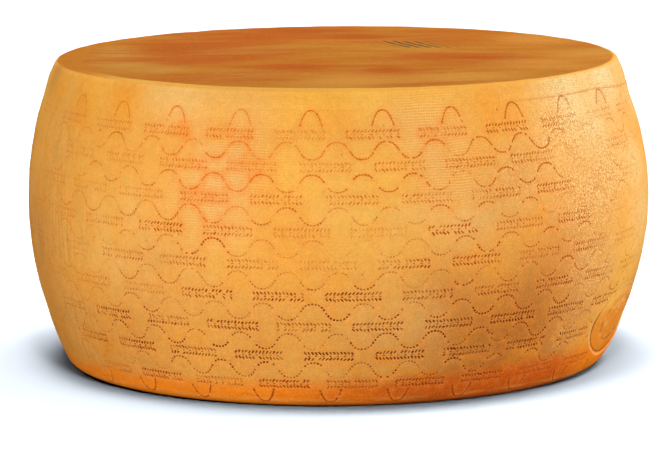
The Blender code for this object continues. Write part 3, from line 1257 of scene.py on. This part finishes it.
def paintFoot(colour, band):
    # the glossy orange band at the foot, with a paler line close to the floor: a painted highlight along
    # the lip of the rounded foot
    redness = ease(total(skin["x"], product(skin["broad"], foot["redWobble"])), *foot["redX"])
    bandColour = over(foot["band"], foot["bandRed"], redness, ease(skin["x"], *foot["redEndX"]))
    streaks = cloud(stretched(skin["unrolled"], foot["streakStretch"]), foot["streakSize"])
    brightness = total(product(streaks, foot["streakShade"]), 1.0 - foot["streakShade"] / 2.0)
    colour = over(colour, shade(bandColour, brightness), band, foot["bandShare"])
    lip = bell(skin["height"], foot["lipHighlightHeight"], foot["lipHighlightHalfWidth"])
    return over(colour, foot["lip"], lip, ease(streaks, *foot["lipHighlightLimits"]), foot["lipHighlightShare"])


# The pad's colours: its orange fill and pale blotches, a painted highlight along its outline and painted
# shade in its grooves
padColourAndShade = {
    "fill": tint(240, 140, 34),
    "light": tint(255, 216, 146),
    "dark": tint(130, 54, 4),
    "lowHeights": (0.018, 0.002),     # above the pad's middle: below them its colours are full
    "fillEdge": (0.0004, -0.0012),
    "fillLow": 0.75,
    "fillLeast": 0.12,
    "blotchEdge": (-0.002, -0.008),
    "blotchLimits": (0.50, 0.70),
    "blotchShare": 0.28,
    "innerLine": (0.0, 0.0014),       # where each line lies from its oval, and its half width
    "innerLimits": (0.62, 0.45),
    "innerShare": 0.6,
    "groove": (-0.0004, 0.0011),
    "grooveLow": 0.72,
    "grooveLeast": 0.08,
    "outline": (0.0017, 0.0011),
    "outlineLeast": 0.1,
    "outlineShare": 0.8,
}


def paintPad(colour):
    # the pad's outline and grooves: a painted highlight along the outline, painted shade in the groove
    # within it and in the faint inner one, both deepest on the pad's lower half
    edge = skin["padEdge"]
    inner = total(edge, (1.0 - pad["innerScale"]) * pad["halfHeight"])
    above, below = padColourAndShade["lowHeights"]
    low = ease(skin["height"], pad["z"] + above, pad["z"] + below)
    fill = total(product(low, padColourAndShade["fillLow"]), padColourAndShade["fillLeast"])
    colour = over(colour, padColourAndShade["fill"], ease(edge, *padColourAndShade["fillEdge"]), fill)
    within, blotch = ease(edge, *padColourAndShade["blotchEdge"]), ease(skin["fine"], *padColourAndShade["blotchLimits"])
    colour = over(colour, padColourAndShade["light"], within, blotch, padColourAndShade["blotchShare"])
    line = product(bell(inner, *padColourAndShade["innerLine"]), low)
    broken = ease(skin["fine"], *padColourAndShade["innerLimits"])
    colour = over(colour, padColourAndShade["dark"], line, broken, padColourAndShade["innerShare"])
    groove = total(product(low, padColourAndShade["grooveLow"]), padColourAndShade["grooveLeast"])
    colour = over(colour, padColourAndShade["dark"], bell(edge, *padColourAndShade["groove"]), groove)
    uneven = total(skin["fine"], padColourAndShade["outlineLeast"])
    outline = product(bell(edge, *padColourAndShade["outline"]), uneven)
    return over(colour, padColourAndShade["light"], outline, padColourAndShade["outlineShare"])


specks = {
    # how much the specks gather round the marks, where the pale ones stand for painted highlights on the
    # pits' rims
    "glintsRoundMarks": 0.45,
    "kinds": [                    # pale ones and dark ones: tone, where the grain is right, share
        (tint(255, 228, 162), (0.50, 0.62), 0.9),
        (tint(196, 112, 36), (0.49, 0.37), 0.8),
    ],
}


def paintSpecksAndGlints(colour):
    # pale and dark specks on the grainy flank, thickest round the marks: the grain is the rind's own,
    # and the pale specks round the marks are also painted highlights on the pits' rims
    near = total(product(skin["halo"], specks["glintsRoundMarks"]), 1.0 - specks["glintsRoundMarks"])
    near = product(skin["grainy"], near)
    for tone, limits, strength in specks["kinds"]:
        colour = over(colour, tone, ease(skin["grain"], *limits), near, strength)
    return colour


# The stain round the marks, and the marks' own colour from high to low, where it changes at
# these heights
stain = {
    "colour": tint(246, 134, 32),
    "share": 0.80,
    "least": 0.22,
}
pits = {
    "high": tint(226, 110, 18),
    "stained": tint(242, 112, 12),
    "stainedLimits": (0.35, 0.80),
    "flank": tint(198, 110, 8),
    "rightX": (0.03, 0.12),
    "leftX": (-0.10, -0.15),
    "lower": [
        ((0.170, 0.100), tint(184, 82, 4)),
        ((0.110, 0.055), tint(128, 52, 1)),
        ((0.030, 0.020), tint(168, 66, 4)),
    ],
}


def paintStain(colour):
    share = total(skin["stained"], stain["least"])
    return over(colour, stain["colour"], skin["halo"], share, stain["share"])


def paintMarks(colour):
    pitColour = over(pits["high"], pits["stained"], ease(skin["stained"], *pits["stainedLimits"]))
    flank = total(ease(skin["x"], *pits["rightX"]), ease(skin["x"], *pits["leftX"]))
    pitColour = over(pitColour, pits["flank"], flank)
    for heights, lower in pits["lower"]:
        pitColour = over(pitColour, lower, ease(skin["height"], *heights))
    return over(colour, pitColour, ease(skin["mark"], 0.0, 1.0))


# Painted shade at the foot: the heights it spans, its darkness, and how much paler it is at the right
contactShade = {
    "heights": (0.0020, 0.0003),
    "darkness": 0.68,
    "paleX": (0.04, 0.14),        # it is paler at the right, by this much
    "paler": 0.60,
}


def paintContactShade(colour):
    # painted shade: the lowest few millimetres of the wheel are darkened where it meets the floor, less
    # at the right
    darkness = product(ease(skin["x"], *contactShade["paleX"]), -contactShade["paler"])
    darkness = total(darkness, contactShade["darkness"])
    dark = product(ease(skin["height"], *contactShade["heights"]), darkness)
    return shade(colour, less(1.0, dark))


def ribsOf():
    # the cloth's fine ribs, and a fainter weft across them
    sway = product(skin["patches"], rind["ribSway"])
    turns = product(total(skin["climb"], sway), math.tau / rind["ribPitch"])
    ribs = calc("SINE", turns)
    weft = calc("SINE", product(skin["across"], math.tau / rind["ribPitch"]))
    worn = ease(skin["fine"], *rind["ribLimits"])
    cloth = total(ribs, product(weft, rind["weftShare"]))
    return product(cloth, skin["ribbed"], skin["onSide"], worn)


def streaksOf():
    # upright streaks that the turning leaves
    streaks = cloud(stretched(skin["unrolled"], rind["streakStretch"]), rind["streakSize"])
    return product(less(streaks, 0.5), skin["streaked"], skin["onSide"])


def paintUnevennessAndRibLight(colour, ribs, streaks):
    mottle = product(less(skin["fine"], 0.5), rind["mottleShade"])
    powder = product(less(skin["grain"], 0.5), rind["powderShade"])
    # the ribs painted lighter and darker along their crests: painted highlight and shade
    ribs = product(ribs, rind["ribLightAndShade"])
    streaks = product(streaks, rind["streakShade"])
    return shade(colour, total(1.0, ribs, streaks, mottle, powder))


def roughnessOf(band):
    low, high = rind["roughness"]
    rough = total(product(skin["patches"], high - low), low)
    rough = less(rough, product(band, rind["bandGloss"]))
    return calc("MAXIMUM", rough, product(skin["onTop"], rind["topRoughness"]))


def reliefOf(ribs, streaks):
    # the fine relief of the skin, as a bump
    grain = product(less(skin["grain"], 0.5), skin["grainy"])
    relief = total(
        product(ribs, rind["ribHeight"]),
        product(grain, rind["grainHeight"]),
        product(streaks, rind["streakHeight"]),
        product(skin["grain"], rind["grainHeight"] * 0.5),
        product(skin["fine"], rind["fineHeight"]),
    )
    return addNode("Bump", {"Height": relief, "Strength": 1.0, "Distance": 1.0}).outputs[0]


def paintRind():
    band = footBand()
    ribs = ribsOf()
    streaks = streaksOf()
    colour = paintClouds(skin["tone"])
    colour = paintFold(colour)
    colour = paintFoot(colour, band)
    colour = paintPad(colour)
    colour = paintTop(colour)
    colour = paintRims(colour)
    colour = paintInk(colour)
    colour = paintUnevennessAndRibLight(colour, ribs, streaks)
    colour = paintStain(colour)
    colour = paintSpecksAndGlints(colour)
    colour = paintMarks(colour)
    colour = paintContactShade(colour)
    shader = nodeTree.nodes["Principled BSDF"]
    shader.inputs["Specular IOR Level"].default_value = rind["specular"]
    nodeTree.links.new(colour, shader.inputs["Base Color"])
    nodeTree.links.new(roughnessOf(band), shader.inputs["Roughness"])
    nodeTree.links.new(reliefOf(ribs, streaks), shader.inputs["Normal"])


paintRind()
wheel.data.materials.append(rindPaint)
print("rind material ready")

# The studio: a pale floor and wall that run out to white, soft lights and a long lens
studio = {
    "floorReach": 9.0,
    "wallHeight": 7.0,
    "lens": 229.8,
    "sensor": 36.0,
    "distance": 2.983,
    "elevation": math.radians(8.58),
    "pitch": math.radians(8.878),
    "roll": math.radians(-0.383),
    "aimZ": 0.106,
    "sideStep": -0.00236,
    "lampAimZ": 0.11,
    "lampDistance": 3.2,
    "floorColour": (0.78, 0.84, 0.92, 1.0),
    "wallColour": (1.0, 1.0, 1.0, 1.0),
    "wallGlow": 0.9,
    "rounding": 96,               # sides of the floor and the wall
}
# Lamps round the wheel: turn in degrees with the front at -90, rise, size and power
lamps = {
    "leftLamp": (-140, 10, 1.5, 50.0),
    "frontLamp": (-82, 10, 1.6, 54.0),
    "rightLamp": (4, 12, 1.4, 78.0),
}
# Soft lamps without a glint: behind, above, and below for the light that a white floor throws up
softLamps = {
    "backLamp": (62, 30, 1.6, 44.0),
    "backLeftLamp": (122, 30, 1.6, 44.0),
    "topLamp": (90, 58, 1.8, 27.0),
    "lowLeftLamp": (-150, -22, 2.2, 18.0),
    "lowRightLamp": (-30, -22, 2.2, 18.0),
    "lowBackLamp": (90, -22, 2.2, 18.0),
}
# Suns that light the floor alone, for the shadow: turn, rise, width and strength
suns = {
    "highSun": (-124, 85, 30.0, 2.02),
    "steepSun": (-90, 78, 16.0, 0.45),
    "frontSun": (-84, 47, 8.0, 0.76),
    "rightSun": (20, 60, 30.0, 1.92),
    "leftSun": (180, 62, 30.0, 0.30),
    "farSun": (34, 28, 42.0, 0.18),
    "lowSun": (-25, 12, 15.0, 0.70),
    "edgeSun": (-158, 83, 10.0, 0.45),
}


def addToScene(name, form, finish):
    # a piece of the studio in a plain finish, given as the shader's inputs
    paint = bpy.data.materials.new(name)
    paint.use_nodes = True
    for socket, value in finish.items():
        paint.node_tree.nodes["Principled BSDF"].inputs[socket].default_value = value
    mesh = bpy.data.meshes.new(name)
    form.to_mesh(mesh)
    form.free()
    piece = bpy.data.objects.new(name, mesh)
    bpy.context.scene.collection.objects.link(piece)
    mesh.materials.append(paint)
    piece.visible_diffuse = False        # it throws no light back on the wheel
    piece.visible_glossy = False
    piece.visible_shadow = False
    return piece


def makeFloor():
    form = bmesh.new()
    reach = studio["floorReach"]
    bmesh.ops.create_circle(form, cap_ends=True, radius=reach, segments=studio["rounding"])
    return addToScene("floor", form, {"Base Color": studio["floorColour"], "Specular IOR Level": 0.0})


def makeWall():
    form = bmesh.new()
    reach, height, sides = studio["floorReach"], studio["wallHeight"], studio["rounding"]
    bmesh.ops.create_cone(form, radius1=reach, radius2=reach, depth=height, segments=sides)
    bmesh.ops.translate(form, verts=form.verts, vec=(0.0, 0.0, height / 2.0))
    glow = {"Emission Color": studio["wallColour"], "Emission Strength": studio["wallGlow"]}
    return addToScene("wall", form, glow)


def makeCamera():
    camera = bpy.data.cameras.new("camera")
    camera.lens = studio["lens"]
    camera.sensor_width = studio["sensor"]
    camera.sensor_fit = "HORIZONTAL"
    camera.clip_end = 50.0
    eye = bpy.data.objects.new("camera", camera)
    bpy.context.scene.collection.objects.link(eye)
    away, rise = studio["distance"], studio["elevation"]
    eye.location = (studio["sideStep"], -away * math.cos(rise), studio["aimZ"] + away * math.sin(rise))
    nod = Matrix.Rotation(math.pi / 2 - studio["pitch"], 4, "X")
    eye.rotation_euler = (nod @ Matrix.Rotation(studio["roll"], 4, "Z")).to_euler()
    bpy.context.scene.camera = eye


def hang(name, light, turn, rise):
    # put a light round the wheel, aimed at its middle
    lamp = bpy.data.objects.new(name, light)
    bpy.context.scene.collection.objects.link(lamp)
    level, lift = math.cos(math.radians(rise)), math.sin(math.radians(rise))
    away = Vector((level * math.cos(math.radians(turn)), level * math.sin(math.radians(turn)), lift))
    lamp.location = Vector((0.0, 0.0, studio["lampAimZ"])) + studio["lampDistance"] * away
    lamp.rotation_euler = (-away).to_track_quat("-Z", "Y").to_euler()
    return lamp


def makeLamp(name, turn, rise, size, power):
    light = bpy.data.lights.new(name, "AREA")
    light.shape = "DISK"
    light.size = size
    light.energy = power
    return hang(name, light, turn, rise)


def makeSun(name, turn, rise, width, strength):
    light = bpy.data.lights.new(name, "SUN")
    light.angle = math.radians(width)
    light.energy = strength
    light.cycles.use_multiple_importance_sampling = False      # rays from the floor miss the wheel
    return hang(name, light, turn, rise)


def shineOn(lights, pieces, name):
    # the lights reach these pieces alone
    receivers = bpy.data.collections.new(name)
    for piece in pieces:
        receivers.objects.link(piece)
    for lamp in lights:
        lamp.light_linking.receiver_collection = receivers


floor = makeFloor()
makeWall()
makeCamera()
softLights = [makeLamp(name, *values) for name, values in softLamps.items()]
for lamp in softLights:
    lamp.visible_glossy = False
shineOn(softLights + [makeLamp(name, *values) for name, values in lamps.items()], [wheel], "litWheel")
shineOn([makeSun(name, *values) for name, values in suns.items()], [floor], "litFloor")
wheel.visible_diffuse = False
world = bpy.data.worlds.new("studio")
bpy.context.scene.world = world
world.use_nodes = True
world.node_tree.nodes["Background"].inputs["Color"].default_value = (1.0, 1.0, 1.0, 1.0)
world.node_tree.nodes["Background"].inputs["Strength"].default_value = 0.0      # the lamps do it all
bpy.context.scene.view_settings.view_transform = "Standard"

print("studio ready")
